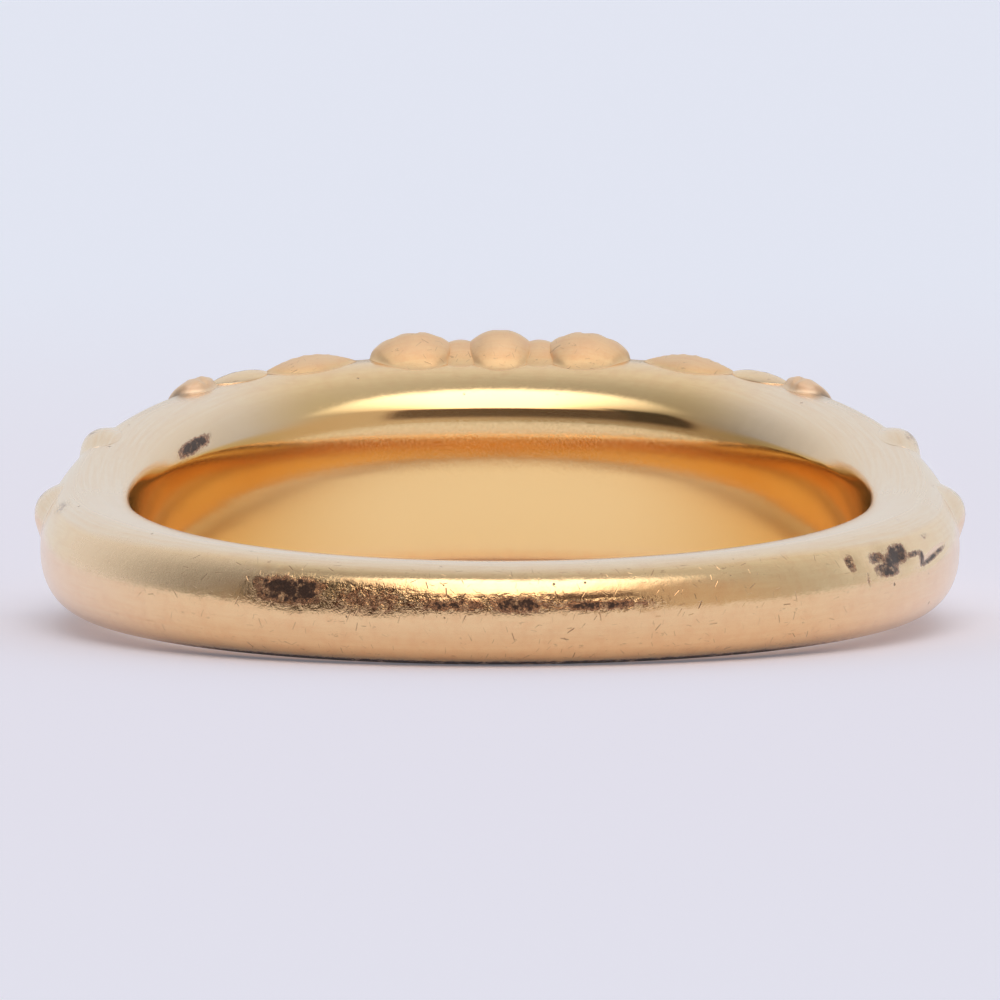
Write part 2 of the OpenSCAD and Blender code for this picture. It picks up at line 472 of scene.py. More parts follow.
# Worn and stained places, and painted shade, whose strength is from 0 to 1
MARKS_AND_PAINTED_SHADE = (
    # Painted reflection on the shank's face, the dark opening mirrored in the gold: a black block,
    # brown patch, thin dark line, dark patch and brown line
    Mark(-5.0, 0.6, 0.92, 0.4, 1),
    Mark(-3.0, 0.46, 1.15, 0.38, 0.5),
    Mark(-1.15, 0.38, 1.0, 0.19, 0.62),
    Mark(0.4, 0.4, 0.7, 0.24, 0.8),
    Mark(2.25, 0.35, 1.4, 0.16, 0.62),
    # A nick with a stain below it, then the four parts of the pitted patch
    Mark(9.25, 0.86, 0.11, 0.27, 1),
    Mark(9.75, 0.3, 0.1, 0.25, 0.42),
    Mark(11.22, 0.82, 0.42, 0.3, 1),
    Mark(10.6, 0.47, 0.5, 0.2, 1),
    Mark(10.35, 0.87, 0.4, 0.2, 0.7),
    Mark(10.9, 0.66, 0.4, 0.25, 0.85),
    # The three parts of the crack, and a stain above it
    Mark(11.95, 0.68, 0.34, 0.09, 0.75),
    Mark(12.3, 0.48, 0.13, 0.24, 1),
    Mark(13.15, 0.43, 0.95, 0.07, 0.8, 8),
    Mark(12.95, 1.06, 0.25, 0.12, 0.4),
    # A stain on the left shoulder's inner edge, painted shade on the buds, and a stain on the left
    # flank
    Mark(-23.5, 4.42, 0.85, 0.2, 1, -5),
    Mark(21.3, 2.0, 0.4, 0.3, 0.34),
    Mark(-21.6, 2.08, 0.45, 0.3, 0.34),
    Mark(17.85, 0.86, 0.3, 0.6, 0.3),
    Mark(-17.85, 0.86, 0.3, 0.6, 0.3),
    Mark(-15.55, 1.52, 0.5, 0.3, 0.33),
)
# Broad matt zone on the left of the shank's face
DULLED = (Mark(-9.2, 0.85, 3.9, 0.62, 1, 2),)


def direction(degrees):
    """Cosine and sine of an angle in degrees."""
    return math.cos(math.radians(degrees)), math.sin(math.radians(degrees))


def turned(x, y, degrees):
    """A place seen along and across a direction that is turned by an angle."""
    c, s = direction(degrees)
    return x * c + y * s, y * c - x * s


def mark_values(marks, along, across, power):
    """The strength of each mark at a place on the band; a greater power gives a flatter mark."""
    values = []
    for mark in marks:
        x, y = turned(along / MM - mark.along, across / MM - mark.across, mark.turn)
        x, y = np.abs(x / mark.half_length), np.abs(y / mark.half_width)
        values.append(mark.strength * np.exp(-(x**power) - y**power))
    return values


def strongest(marks, from_back, across):
    """The strength of the strongest of some marks."""
    return np.max(mark_values(marks, from_back, across, WORN_POWER), axis=0)


def on_face(s, across):
    """1 on the outer face of the band, fading to 0 past its rims."""
    past_rim = np.abs(across) - (s.half + s.stretch * s.outside)
    return 1 - eased(past_rim / RIM_FADE + 0.5)


def crowded(start, steps, amount):
    """Steps from a start to 1 that crowd towards the rims by an amount from 0 to 1."""
    even = np.linspace(start, 1, steps + 1)
    return (1 - amount) * even + amount * np.sin(even * np.pi / 2)


def band_rows(sizes, s):
    """Radius, height, unrolled distance and outsideness of each row, round from the bore's middle."""
    face = crowded(-1, sizes.face_steps, FACE_CROWDING)
    edge = crowded(0, sizes.edge_steps, EDGE_CROWDING)[:-1]
    rows = [(*edge_point(s, part, -1), eased(part * 3 - 2)) for part in edge]
    rows += [(*face_point(s, part), 1) for part in face]
    rows += [(*edge_point(s, part, 1), eased(part * 3 - 2)) for part in edge[:0:-1]]
    return [np.concatenate([row[k] + 0 * s.half for row in rows], -1) for k in range(4)]


def grid_corners(columns, rows):
    """Column and row of each face's corners, in a grid of faces."""
    i, j = np.meshgrid(np.arange(columns), np.arange(rows), indexing="ij")
    return i.ravel()[:, None] + np.array([0, 0, 1, 1]), j.ravel()[:, None] + np.array([0, 1, 1, 0])


def corner_places(sizes, radius, level, i, j):
    """Unrolled place of each face's corners, measured round the section from the face's middle."""
    columns = len(radius)
    run_r = np.diff(radius, axis=1, append=radius[:, :1])
    run_z = np.diff(level, axis=1, append=level[:, :1])
    around = np.cumsum(np.hypot(run_r, run_z), axis=1)
    around = np.concatenate([np.zeros((columns, 1)), around], axis=1)
    around = around - around[:, [sizes.edge_steps + sizes.face_steps // 2]]
    along = sizes.unrolled_radius * (np.pi - i * 2 * np.pi / columns)
    return np.stack([along, around[i % columns, j], np.zeros(i.shape)], -1) / MM


def recess_near(leaves, along, across):
    """How deep a place on the ground lies among the leaves, from 0 in the open to 1 at a leaf."""
    found = np.zeros(np.broadcast(along, across).shape)
    for leaf, along_sign, across_sign in leaves:
        x, y = along_sign * along / MM - leaf.along, across_sign * across / MM - leaf.across
        x, y = turned(x, y, leaf.turn)
        reach = np.hypot(x / leaf.half_length, y / leaf.half_width)
        gap = np.maximum(reach - 1, 0) * leaf.half_width
        found = np.maximum(found, np.exp(-gap / RECESS_REACH))
    return found


def keep_values(mesh, name, key, kind, domain, values):
    """Keeps a value for each point or corner of a mesh, for its material to read."""
    data = mesh.attributes.new(name, kind, domain).data
    data.foreach_set(key, np.ascontiguousarray(values, np.float32).ravel())


def make_piece(name, material, points, faces, places, domain, values):
    """A smooth mesh piece that rides on the ring's body, with its values kept."""
    mesh = bpy.data.meshes.new(name)
    mesh.from_pydata(lying(points).reshape(-1, 3).tolist(), [], faces.tolist())
    mesh.update()
    mesh.shade_smooth()
    mesh.materials.append(material)
    keep_values(mesh, PLACE, "vector", "FLOAT_VECTOR", domain, places)
    for value_name, value in values.items():
        keep_values(mesh, value_name, "value", "FLOAT", "POINT", value)
    piece = bpy.data.objects.new(name, mesh)
    bpy.context.scene.collection.objects.link(piece)
    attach(piece, BODY)
    return piece


def make_band(scene, name):
    """The plain band with its dents, and the values that its material reads."""
    sizes = scene.ring_sizes
    columns = sizes.column_count
    turn = (np.arange(columns) * 2 * np.pi / columns)[:, None]
    from_front = np.where(turn > np.pi, turn - 2 * np.pi, turn)
    s = section_at(sizes, from_front)
    radius, level, across, outside = band_rows(sizes, s)
    run_r, run_z = (np.roll(value, -1, 1) - np.roll(value, 1, 1) for value in (radius, level))
    run = np.hypot(run_r, run_z)
    outwards, upwards = run_r / run, run_z / run
    from_back = sizes.unrolled_radius * (np.pi - turn)
    sunk = sum(mark_values(DENTS, from_back, across, DENT_POWER)) * MM * outside
    points = upright(turn, radius - sunk * upwards, level + sunk * outwards)
    rows = radius.shape[1]
    i, j = grid_corners(columns, rows)
    faces = (i % columns) * rows + j % rows
    places = corner_places(sizes, radius, level, i, j)
    carved = [*mirrored(CROSS, True), *mirrored(flower(sizes), False)]
    recess = recess_near(carved, sizes.unrolled_radius * from_front, across)
    values = {
        RECESS: recess * on_face(s, across),
        # Real wear marks together with painted shade: the dark reflection on the shank's face, the
        # shade on the buds and the contact line
        WEAR_AND_PAINTED_SHADE: np.maximum(strongest(MARKS_AND_PAINTED_SHADE, from_back, across), painted_contact_shade(from_back, outwards, upwards)),
        DULL: strongest(DULLED, from_back, across),
        OUTSIDE: outside,
        PAINTED_SHEEN: painted_sheen(from_front, outwards, upwards, outside),
        CROWN: 1 - eased_turn(np.abs(from_front), *CROWN_FADE) + 0 * across,
    }
    gold = found_gold(scene.ring_finish, False)
    return make_piece(name, gold, points, faces, places, "CORNER", values)


# Leaves and flowers


class Leaf(NamedTuple):
    """A leaf or petal on the unrolled band, with half sizes and height in millimetres.

    A greater point gives a sharper outline and a greater fullness a peakier dome. A soft end
    sinks slowly and is plain, and a clean leaf has no hollow and no tarnish at its foot.
    """

    along: float
    across: float
    turn: float
    half_length: float
    half_width: float
    height: float
    point: float = 0.5
    groove: float = 0.0
    fullness: float = 0.5
    soft_end: bool = False
    clean: bool = False


CROSS = (
    Leaf(0, 0, 0, 0.72, 0.72, 0.58),
    Leaf(0, 1.3, 90, 0.85, 0.46, 0.4, 0.5, 0.08),
    Leaf(0, 2.5, 90, 1.45, 0.98, 0.7, 0.5, 0.06, 0.7, True),
    Leaf(0.98, 2.35, 86, 1.35, 0.72, 0.5, 0.5, 0.04, 0.7, True),
    Leaf(2.12, 2.45, 80, 1.4, 1.14, 0.68, 0.5, 0.06, 0.6, True),
    Leaf(1.3, 1.2, 45, 0.8, 0.38, 0.34, 0.9, 0.06),
    Leaf(1.9, 0, 0, 1.5, 0.46, 0.4, 0.5, 0.1),
    Leaf(4.55, 0, 0, 1.15, 0.74, 0.46, 0.6, 0.09),
    Leaf(3.75, 1.1, 60, 0.95, 0.57, 0.42, 0.5, 0.08),
    Leaf(4.75, 2.55, 10, 1.35, 0.8, 0.27, 0.6, 0, 1.3),
)
# A low leaf between the cross and the flower, then the three buds on the way to the shank
BUDS = (
    Leaf(6.85, 2.3, -14, 0.95, 0.7, 0.17, fullness=0.8, clean=True),
    Leaf(12.6, 1.95, 10, 1.1, 0.75, 0.26, fullness=1.6, clean=True),
    Leaf(13.6, -1.1, -20, 1.1, 0.75, 0.26, fullness=1.6, clean=True),
    Leaf(16.4, 0.85, 0, 1.1, 0.9, 0.28, fullness=1.6, clean=True),
)
# A flower's petal and eye, placed from the flower's middle
PETAL = Leaf(1.6, 0, 0, 1.3, 0.95, 0.46, 0.55, 0.06, 0.7)
EYE = Leaf(0, 0, 0, 0.64, 0.64, 0.6)


def flower(sizes):
    """The petals and eye of the shoulder flower on the right."""
    middle = sizes.flower_along / MM
    leaves = []
    for i in range(sizes.petal_count):
        turn = 360 * (i + 0.5) / sizes.petal_count
        c, s = direction(turn)
        leaves.append(PETAL._replace(along=middle + PETAL.along * c, across=PETAL.along * s, turn=turn))
    return [*leaves, EYE._replace(along=middle)]


def mirrored(leaves, both_ways):
    """Each leaf with the signs of its copies along the band, and across it where asked."""
    found = []
    for leaf in leaves:
        for along_sign in (1, -1) if leaf.along else (1,):
            for across_sign in (1, -1) if both_ways and leaf.across else (1,):
                found.append((leaf, along_sign, across_sign))
    return found


def leaf_shape(leaf, p, q, taper, rest):
    """Height over a leaf in millimetres, and how domed it is, at shares of its half sizes."""
    lengthwise = taper**leaf.fullness
    plain = 1
    if leaf.soft_end:
        lengthwise = np.where(p > 0, np.cos(p * np.pi / 2) ** 2, lengthwise)
        plain = np.where(p > 0, eased(1 - p * PLAIN_END), 1)
    foot = 1 if leaf.clean else eased(rest * FOOT)
    dome = lengthwise * np.maximum(1 - q * q, 0) ** leaf.fullness * foot
    cut = leaf.groove * eased(rest * GROOVE_GAIN) * plain
    groove = cut * np.exp(-((q / GROOVE_WIDTH) ** 2))
    slanted = p - VEIN_SLANT * np.abs(q)
    veins = cut * VEIN_DEPTH * np.cos(VEIN_WAVES * slanted) * (np.abs(q) > RIB)
    return leaf.height * dome - groove + veins, dome


def leaf_patch(sizes, leaf, along_sign, across_sign):
    """A grid over one leaf with its rim sunk under the band: place, height, lift and hollow."""
    p = crowded(-1, sizes.leaf_length_steps, 1)[:, None]
    q = crowded(-1, sizes.leaf_width_steps, 1)[None, :]
    taper = np.maximum(1 - p * p, LEAST_TAPER)
    rest = np.maximum(taper * (1 - q * q), 0)
    height, dome = leaf_shape(leaf, p, q, taper, rest)
    height[0, :] = height[-1, :] = height[:, 0] = height[:, -1] = -LEAF_SINK
    u, v = p * leaf.half_length + 0 * q, q * leaf.half_width * taper**leaf.point
    c, s = direction(leaf.turn)
    along = along_sign * (leaf.along + u * c - v * s) * MM
    across = across_sign * (leaf.across + u * s + v * c) * MM
    hollow = (1 - eased(rest * FOOT_TARNISH)) * (not leaf.clean)
    return along, across, height * MM, eased(dome * LIFT_GAIN), hollow


def make_leaves(scene, name, leaves, relief):
    """One piece that holds all the given leaves, in cast gold or in the band's own."""
    sizes = scene.ring_sizes
    rows, columns = sizes.leaf_width_steps + 1, sizes.leaf_length_steps + 1
    i, j = grid_corners(columns - 1, rows - 1)
    quad = i * rows + j
    faces = [
        (quad if along_sign * across_sign > 0 else quad[:, ::-1]) + place * rows * columns
        for place, (_, along_sign, across_sign) in enumerate(leaves)
    ]
    patches = zip(*(leaf_patch(sizes, *leaf) for leaf in leaves))
    along, across, height, lift, hollow = (np.stack(patch) for patch in patches)
    turn = along / sizes.unrolled_radius
    s = section_at(sizes, turn)
    radius, level = section_point(s, across)
    outwards, upwards = band_slope(s, across)
    points = upright(turn, radius + height * upwards, level - height * outwards)
    places = np.stack([along, across, height], -1) / MM
    from_back = np.where(along > 0, 1, -1) * np.pi * sizes.unrolled_radius - along
    values = {
        RECESS: hollow * on_face(s, across),
        WEAR_AND_PAINTED_SHADE: strongest(MARKS_AND_PAINTED_SHADE, from_back, across),
        OUTSIDE: np.ones_like(across),
        PAINTED_SHEEN: painted_sheen(turn, outwards, upwards, reach=PALE_LEAF_REACH),
        LIFT: lift,
    }
    gold = found_gold(scene.ring_finish, relief)
    return make_piece(name, gold, points, np.concatenate(faces), places, "POINT", values)


# Materials


def add_node(tree, kind, **settings):
    """A shader node with some of its settings set."""
    node = tree.nodes.new(f"ShaderNode{kind}")
    for name, value in settings.items():
        setattr(node, name, value)
    return node


def put(tree, socket, value):
    """Links a socket to an input, or sets the input to a plain value."""
    if isinstance(value, bpy.types.NodeSocket):
        tree.links.new(value, socket)
    else:
        socket.default_value = value


def fill(tree, node, values):
    """Puts values and sockets into the named inputs of a node."""
    for name, value in values.items():
        put(tree, node.inputs[name], value)


def maths(tree, operation, *values, kind="Math"):
    """The result of a Math node, or of a Vector Math node, over values and sockets."""
    node = add_node(tree, kind, operation=operation)
    for socket, value in zip(node.inputs, values):
        put(tree, socket, value)
    return node.outputs[0]


def chain(operation):
    """A function that joins numbers and sockets in turn by a Math operation."""

    def joined(tree, first, *others):
        for other in others:
            first = maths(tree, operation, first, other)
        return first

    return joined


# Numbers and sockets multiplied, added or taken away, and the highest of them
product, total = chain("MULTIPLY"), chain("ADD")
less, highest = chain("SUBTRACT"), chain("MAXIMUM")


def split(tree, place):
    """The three parts of a place."""
    node = add_node(tree, "SeparateXYZ")
    put(tree, node.inputs[0], place)
    return tuple(node.outputs)


def kept(tree, name, output="Fac"):
    """A value that the mesh keeps."""
    return add_node(tree, "Attribute", attribute_name=name).outputs[output]


def ramped(tree, value, start, end, low=0, high=1):
    """A value eased from low to high between two ends."""
    node = add_node(tree, "MapRange", interpolation_type="SMOOTHSTEP")
    ends = {"From Min": start, "From Max": end, "To Min": low, "To Max": high}
    fill(tree, node, {"Value": value, **ends})
    return node.outputs["Result"]


def mixed_colour(tree, amount, first, second):
    """A mix of two colours, each a socket or a plain colour."""
    node = add_node(tree, "Mix", data_type="RGBA")
    put(tree, node.inputs["Factor"], amount)
    sockets = [socket for socket in node.inputs if socket.type == "RGBA"]
    for socket, item in zip(sockets, (first, second)):
        put(tree, socket, item if isinstance(item, bpy.types.NodeSocket) else (*item, 1))
    return next(o for o in node.outputs if o.type == "RGBA")


# Noise patterns: cells for each millimetre, detail and roughness
SCRATCHED_AREAS = (0.8, 3, 0.5)
SPECKS = (1, 4, 0.7)
MOTTLE = (2.4, 5, 0.65)
GRAIN = (14, 3, 0.6)
BRUSHING = (1, 4, 0.7)
FLECKS = (3.2, 4, 0.7)
RAGGED_EDGE = (5, 4, 0.75)
BROAD_RIPPLES = (0.9, 2, 0.5)
CLOSE_RIPPLES = (2.6, 4, 0.6)
WORN_SURFACE = (4, 4, 0.7)
CAST_SKIN = (3, 2, 0.5)
# How far the brush lines and the specks are squeezed along and across the band
BRUSH_SQUEEZE = (0.5, 11, 1)
SPECK_SQUEEZE = (3, 6, 1)
# Fine, short and long scratches: cell, half length and half width in millimetres, and share
SCRATCHES = ((0.26, 0.08, 0.014, 0.6), (0.5, 0.12, 0.02, 0.6), (2.1, 0.35, 0.015, 0.1))
# Pits, and dimples of the matted ground: cells for each millimetre, size and share
PITS = (1.3, 0.06, 0.12)
DIMPLES = (4.5, 0.8, 1)


def noise(tree, place, pattern):
    """A noise value at a place."""
    node = add_node(tree, "TexNoise")
    scale, detail, roughness = pattern
    fill(tree, node, {"Vector": place, "Scale": scale, "Detail": detail, "Roughness": roughness})
    return node.outputs[0]


def new_group(name, numbers):
    """A node group from a place and some numbers to a mask, and its end nodes."""
    tree = bpy.data.node_groups.new(name, "ShaderNodeTree")
    tree.interface.new_socket("Place", in_out="INPUT", socket_type="NodeSocketVector")
    for label, default in numbers.items():
        socket = tree.interface.new_socket(label, in_out="INPUT", socket_type="NodeSocketFloat")
        socket.default_value = default
    tree.interface.new_socket("Mask", in_out="OUTPUT", socket_type="NodeSocketFloat")
    return tree, tree.nodes.new("NodeGroupInput"), tree.nodes.new("NodeGroupOutput")


def scattered_cells(tree, place, scale):
    """A node of cells scattered over a place, and three chances for each cell."""
    cells = add_node(tree, "TexVoronoi", voronoi_dimensions="2D", feature="F1")
    fill(tree, cells, {"Vector": place, "Scale": scale})
    chance = add_node(tree, "SeparateColor")
    put(tree, chance.inputs[0], cells.outputs["Color"])
    return cells, chance.outputs


def scratch_group(name):
    """Short scratches over a surface, one to a cell, each with its own direction."""
    numbers = {"Cell Size": 1, "Half Length": 0.4, "Half Width": 0.02, "Share": 0.5}
    tree, start, end = new_group(name, numbers)
    cell = start.outputs["Cell Size"]
    scaled = add_node(tree, "VectorMath", operation="SCALE")
    put(tree, scaled.inputs[0], start.outputs["Place"])
    put(tree, scaled.inputs["Scale"], maths(tree, "DIVIDE", 1, cell))
    cells, chance = scattered_cells(tree, scaled.outputs[0], 1)
    away = maths(tree, "SUBTRACT", scaled.outputs[0], cells.outputs["Position"], kind="VectorMath")
    x, y, _ = split(tree, away)
    turn = product(tree, chance[0], math.pi)
    cosine, sine = maths(tree, "COSINE", turn), maths(tree, "SINE", turn)
    u = total(tree, product(tree, x, cosine), product(tree, y, sine))
    v = less(tree, product(tree, y, cosine), product(tree, x, sine))
    bend = product(tree, less(tree, chance[2], 0.5), 0.3)
    v = total(tree, v, product(tree, u, u, bend))

    def reach(distance, half_size):
        inside = maths(tree, "ABSOLUTE", product(tree, distance, cell))
        return maths(tree, "DIVIDE", inside, start.outputs[half_size])

    line = ramped(tree, reach(v, "Half Width"), 1, 0)
    end_fade = ramped(tree, reach(u, "Half Length"), 1, 0.6)
    chosen = maths(tree, "LESS_THAN", chance[1], start.outputs["Share"])
    put(tree, end.inputs["Mask"], product(tree, line, end_fade, chosen))
    return tree


def pit_group(name):
    """Small round pits, one to a cell."""
    tree, start, end = new_group(name, {"Cells Per Length": 2, "Pit Size": 0.3, "Share": 0.5})
    cells, chance = scattered_cells(tree, start.outputs["Place"], start.outputs["Cells Per Length"])
    size = total(tree, product(tree, start.outputs["Pit Size"], chance[0]), 0.01)
    hole = ramped(tree, maths(tree, "DIVIDE", cells.outputs["Distance"], size), 1, 0.2)
    chosen = maths(tree, "LESS_THAN", chance[1], start.outputs["Share"])
    put(tree, end.inputs["Mask"], product(tree, hole, chosen))
    return tree


def scattered(tree, name, build, place, values):
    """The mask of a node group, built once, from a place and its values."""
    group = bpy.data.node_groups.get(name) or build(name)
    node = add_node(tree, "Group", node_tree=group)
    for socket, value in zip(node.inputs, (place, *values)):
        put(tree, socket, value)
    return node.outputs["Mask"]


def new_material(name):
    """A material, its node tree and its shader."""
    material = bpy.data.materials.new(name)
    material.use_nodes = True
    tree = material.node_tree
    return material, tree, next(n for n in tree.nodes if n.type == "BSDF_PRINCIPLED")


def surface_values(tree, relief):
    """The values that the mesh keeps, how far the gold lies outside the painted sheen, its brushing and
    mottle.
    """
    s = SimpleNamespace(place=kept(tree, PLACE, "Vector"), recess=kept(tree, RECESS))
    s.wear, s.dull, s.crown = kept(tree, WEAR_AND_PAINTED_SHADE), kept(tree, DULL), kept(tree, CROWN)
    s.outside, s.pale = kept(tree, OUTSIDE), kept(tree, PAINTED_SHEEN)
    # Painted sheen on the raised parts of the leaves, paler where they rise
    if relief:
        s.lift = kept(tree, LIFT)
        s.pale = highest(tree, s.pale, product(tree, s.lift, LIFT_PAINTED_SHEEN))
    s.polished = less(tree, 1, s.pale)
    squeezed = maths(tree, "MULTIPLY", s.place, BRUSH_SQUEEZE, kind="VectorMath")
    s.brushed = noise(tree, squeezed, BRUSHING)
    s.mottle = noise(tree, s.place, MOTTLE)
    return s


def add_damage(tree, s):
    """Adds the scratches and pits, and the brown and the dirt in them and in the worn places; the worn
    places also hold painted shade, so these colours paint dark reflections too.
    """
    fine, short, long = (
        scattered(tree, "Scattered Scratches", scratch_group, s.place, kind) for kind in SCRATCHES
    )
    pits = scattered(tree, "Scattered Pits", pit_group, s.place, PITS)
    s.pits = product(tree, pits, s.outside)
    along = maths(tree, "ABSOLUTE", split(tree, s.place)[0])
    at_back = ramped(tree, along, 5, 13, 1, 0.2)
    areas = ramped(tree, noise(tree, s.place, SCRATCHED_AREAS), 0.38, 0.62, 0.1, 1)
    scored = total(tree, product(tree, fine, 0.5), short, long)
    s.scored = product(tree, scored, areas, s.outside, at_back, s.polished)
    squeezed = maths(tree, "MULTIPLY", s.place, SPECK_SQUEEZE, kind="VectorMath")
    specks = ramped(tree, noise(tree, squeezed, SPECKS), 0.62, 0.7)
    specks = product(tree, specks, at_back, s.outside)

    flecks = ramped(tree, noise(tree, s.place, FLECKS), 0.34, 0.5)
    ragged = ramped(tree, noise(tree, s.place, RAGGED_EDGE), 0.3, 0.7, -0.2, 0.2)
    # Real wear together with painted shade: the dark reflection on the shank's face, the shade on the
    # buds and the contact line
    worn = total(tree, s.wear, product(tree, ragged, ramped(tree, s.wear, 0.05, 0.3)))
    s.dull = ramped(tree, total(tree, s.dull, product(tree, ragged, 0.6)), 0.15, 0.75)
    # The dirt paints real dirt in recesses and pits, and the black of the painted shade
    s.dirt = highest(
        tree,
        product(tree, s.recess, ramped(tree, s.mottle, 0.2, 0.7, 0.35, 0.9)),
        product(tree, s.pits, PIT_DIRT),
        product(tree, ramped(tree, worn, 0.55, 0.72), flecks),
    )
    # The brown paints real stains in scratches and specks, and the brown of the painted shade
    s.brown = highest(
        tree,
        product(tree, ramped(tree, worn, 0.22, 0.5), ramped(tree, flecks, 0, 1, 0.5, 0.85)),
        product(tree, s.scored, SCRATCH_STAIN),
        product(tree, specks, SPECK_STAIN),
    )


def gold_colour(tree, s, finish):
    """The gold of the bore and of the outside, with what dulls and stains it on top, and the painted
    sheen, painted reflection and painted shade laid in with them.
    """
    # The shank's bore takes the deeper orange of the painted reflection
    bore_gold = mixed_colour(tree, s.crown, finish.bore_painted_bounce_gold, finish.bore_gold)
    gold = mixed_colour(tree, s.outside, bore_gold, finish.gold)
    layers = (
        (product(tree, ramped(tree, s.mottle, 0.4, 0.75, 0, 0.6), s.outside), finish.deep_gold),
        # Painted sheen: the pale tent mirrored on the upper flanks, the sides and the raised leaves
        (product(tree, s.pale, PAINTED_SHEEN_COLOUR), finish.painted_sheen_gold),
        (product(tree, ramped(tree, s.brushed, 0.3, 0.75, 0, 0.35), s.outside), finish.deep_gold),
        (product(tree, s.dull, DULL_COLOUR), finish.dull_gold),
        (s.brown, finish.stain),
        (s.dirt, finish.tarnish),
    )
    for amount, layer in layers:
        gold = mixed_colour(tree, amount, gold, layer)
    return gold


def gold_roughness(tree, s, finish, relief):
    """The roughness of the bore, the outside or the relief, with what roughens it."""
    if relief:
        foot = FOOT_ROUGHNESS * finish.relief_roughness
        smooth = ramped(tree, s.lift, 0, 0.3, foot, finish.relief_roughness)
    else:
        smooth = ramped(tree, s.outside, 0, 1, finish.bore_roughness, finish.roughness)
    grain = ramped(tree, noise(tree, s.place, GRAIN), 0.3, 0.7, -0.03, 0.05)
    return total(
        tree,
        smooth,
        product(tree, grain, s.polished),
        product(tree, s.crown, s.outside, CROWN_ROUGHNESS),
        product(tree, s.pale, PALE_ROUGHNESS),
        product(tree, s.dull, DULL_ROUGHNESS),
        product(tree, s.dirt, DIRT_ROUGHNESS),
    )


def gold_height(tree, s, finish, relief):
    """The height of the ripples, scratches, pits and worn places, and of the cast or matted skin."""
    ripple = finish.ripple_height / MM
    broad = product(tree, noise(tree, s.place, BROAD_RIPPLES), ripple)
    close = product(tree, noise(tree, s.place, CLOSE_RIPPLES), CLOSE_RIPPLE * ripple)
    lines = product(tree, s.brushed, BRUSH_LINES * ripple)
    rippled = less(tree, product(tree, s.outside, 0.9), product(tree, s.pale, 0.92))
    waves = product(tree, total(tree, broad, close, lines), total(tree, rippled, 0.1))
    scores = product(tree, s.scored, -finish.scratch_depth / MM)
    cut = total(tree, scores, product(tree, s.pits, -PIT_DEPTH))
    worn = ramped(tree, noise(tree, s.place, WORN_SURFACE), 0.2, 0.8, -WORN_HEIGHT, WORN_HEIGHT)
    height = total(tree, waves, cut, product(tree, s.wear, worn))
    if relief:
        return total(tree, height, product(tree, noise(tree, s.place, CAST_SKIN), CAST_HEIGHT, s.lift))
    dimples = scattered(tree, "Scattered Pits", pit_group, s.place, DIMPLES)
    return total(tree, height, product(tree, dimples, s.recess, -DIMPLE_DEPTH))


def gold_material(name, finish, relief):
    """Worn gold, either of the cast relief or of the band with its matted ground."""
    material, tree, shader = new_material(name)
    s = surface_values(tree, relief)
    add_damage(tree, s)
    bump = add_node(tree, "Bump")
    height = gold_height(tree, s, finish, relief)
    fill(tree, bump, {"Distance": MM, "Strength": 1, "Height": height})
    film = product(tree, s.outside, finish.film + (RELIEF_FILM if relief else 0))
    values = {
        "Base Color": gold_colour(tree, s, finish),
        "Roughness": gold_roughness(tree, s, finish, relief),
        "Normal": bump.outputs["Normal"],
        "Metallic": ramped(tree, s.outside, 0, 1, BORE_METALLIC, 1),
        "Coat Weight": total(tree, film, product(tree, s.pale, PALE_FILM)),
        "Coat Roughness": FILM_ROUGHNESS,
        "Coat IOR": FILM_IOR,
    }
    fill(tree, shader, values)
    return material


def found_gold(finish, relief):
    """The cast gold of the relief, or the worn gold of the band, made once."""
    name = "Cast Gold" if relief else "Worn Gold"
    return bpy.data.materials.get(name) or gold_material(name, finish, relief)


def floor_material(studio):
    """A plain matt floor, brightest inside the ring and bluer far away."""
    material, tree, shader = new_material("Pale Floor")
    away = add_node(tree, "VectorMath", operation="LENGTH")
    put(tree, away.inputs[0], add_node(tree, "TexCoord").outputs["Object"])
    ends = (FLOOR_NEAR, FLOOR_FAR)
    near, far = (ramped(tree, away.outputs["Value"], low * MM, high * MM) for low, high in ends)
    plain = mixed_colour(tree, near, studio.floor_inside, studio.floor_near)
    floor_colour = mixed_colour(tree, far, plain, studio.floor_far)
    colours = {"Base Color": floor_colour, "Emission Color": floor_colour}
    matt = {"Roughness": 1, "Specular IOR Level": 0, "Emission Strength": studio.floor_glow}
    fill(tree, shader, {**colours, **matt})
    return material


def edged(tree, value, low, high, soft):
    """1 between two angles in degrees and 0 outside them, with soft edges."""
    low, high, soft = math.radians(low), math.radians(high), math.radians(soft)
    rise = ramped(tree, value, low - soft, low + soft)
    fall = ramped(tree, value, high - soft, high + soft, 1, 0)
    return product(tree, rise, fall)


def window(tree, first, second, edges):
    """A soft-edged window over two angles."""
    return product(tree, edged(tree, first, *edges[0]), edged(tree, second, *edges[1]))


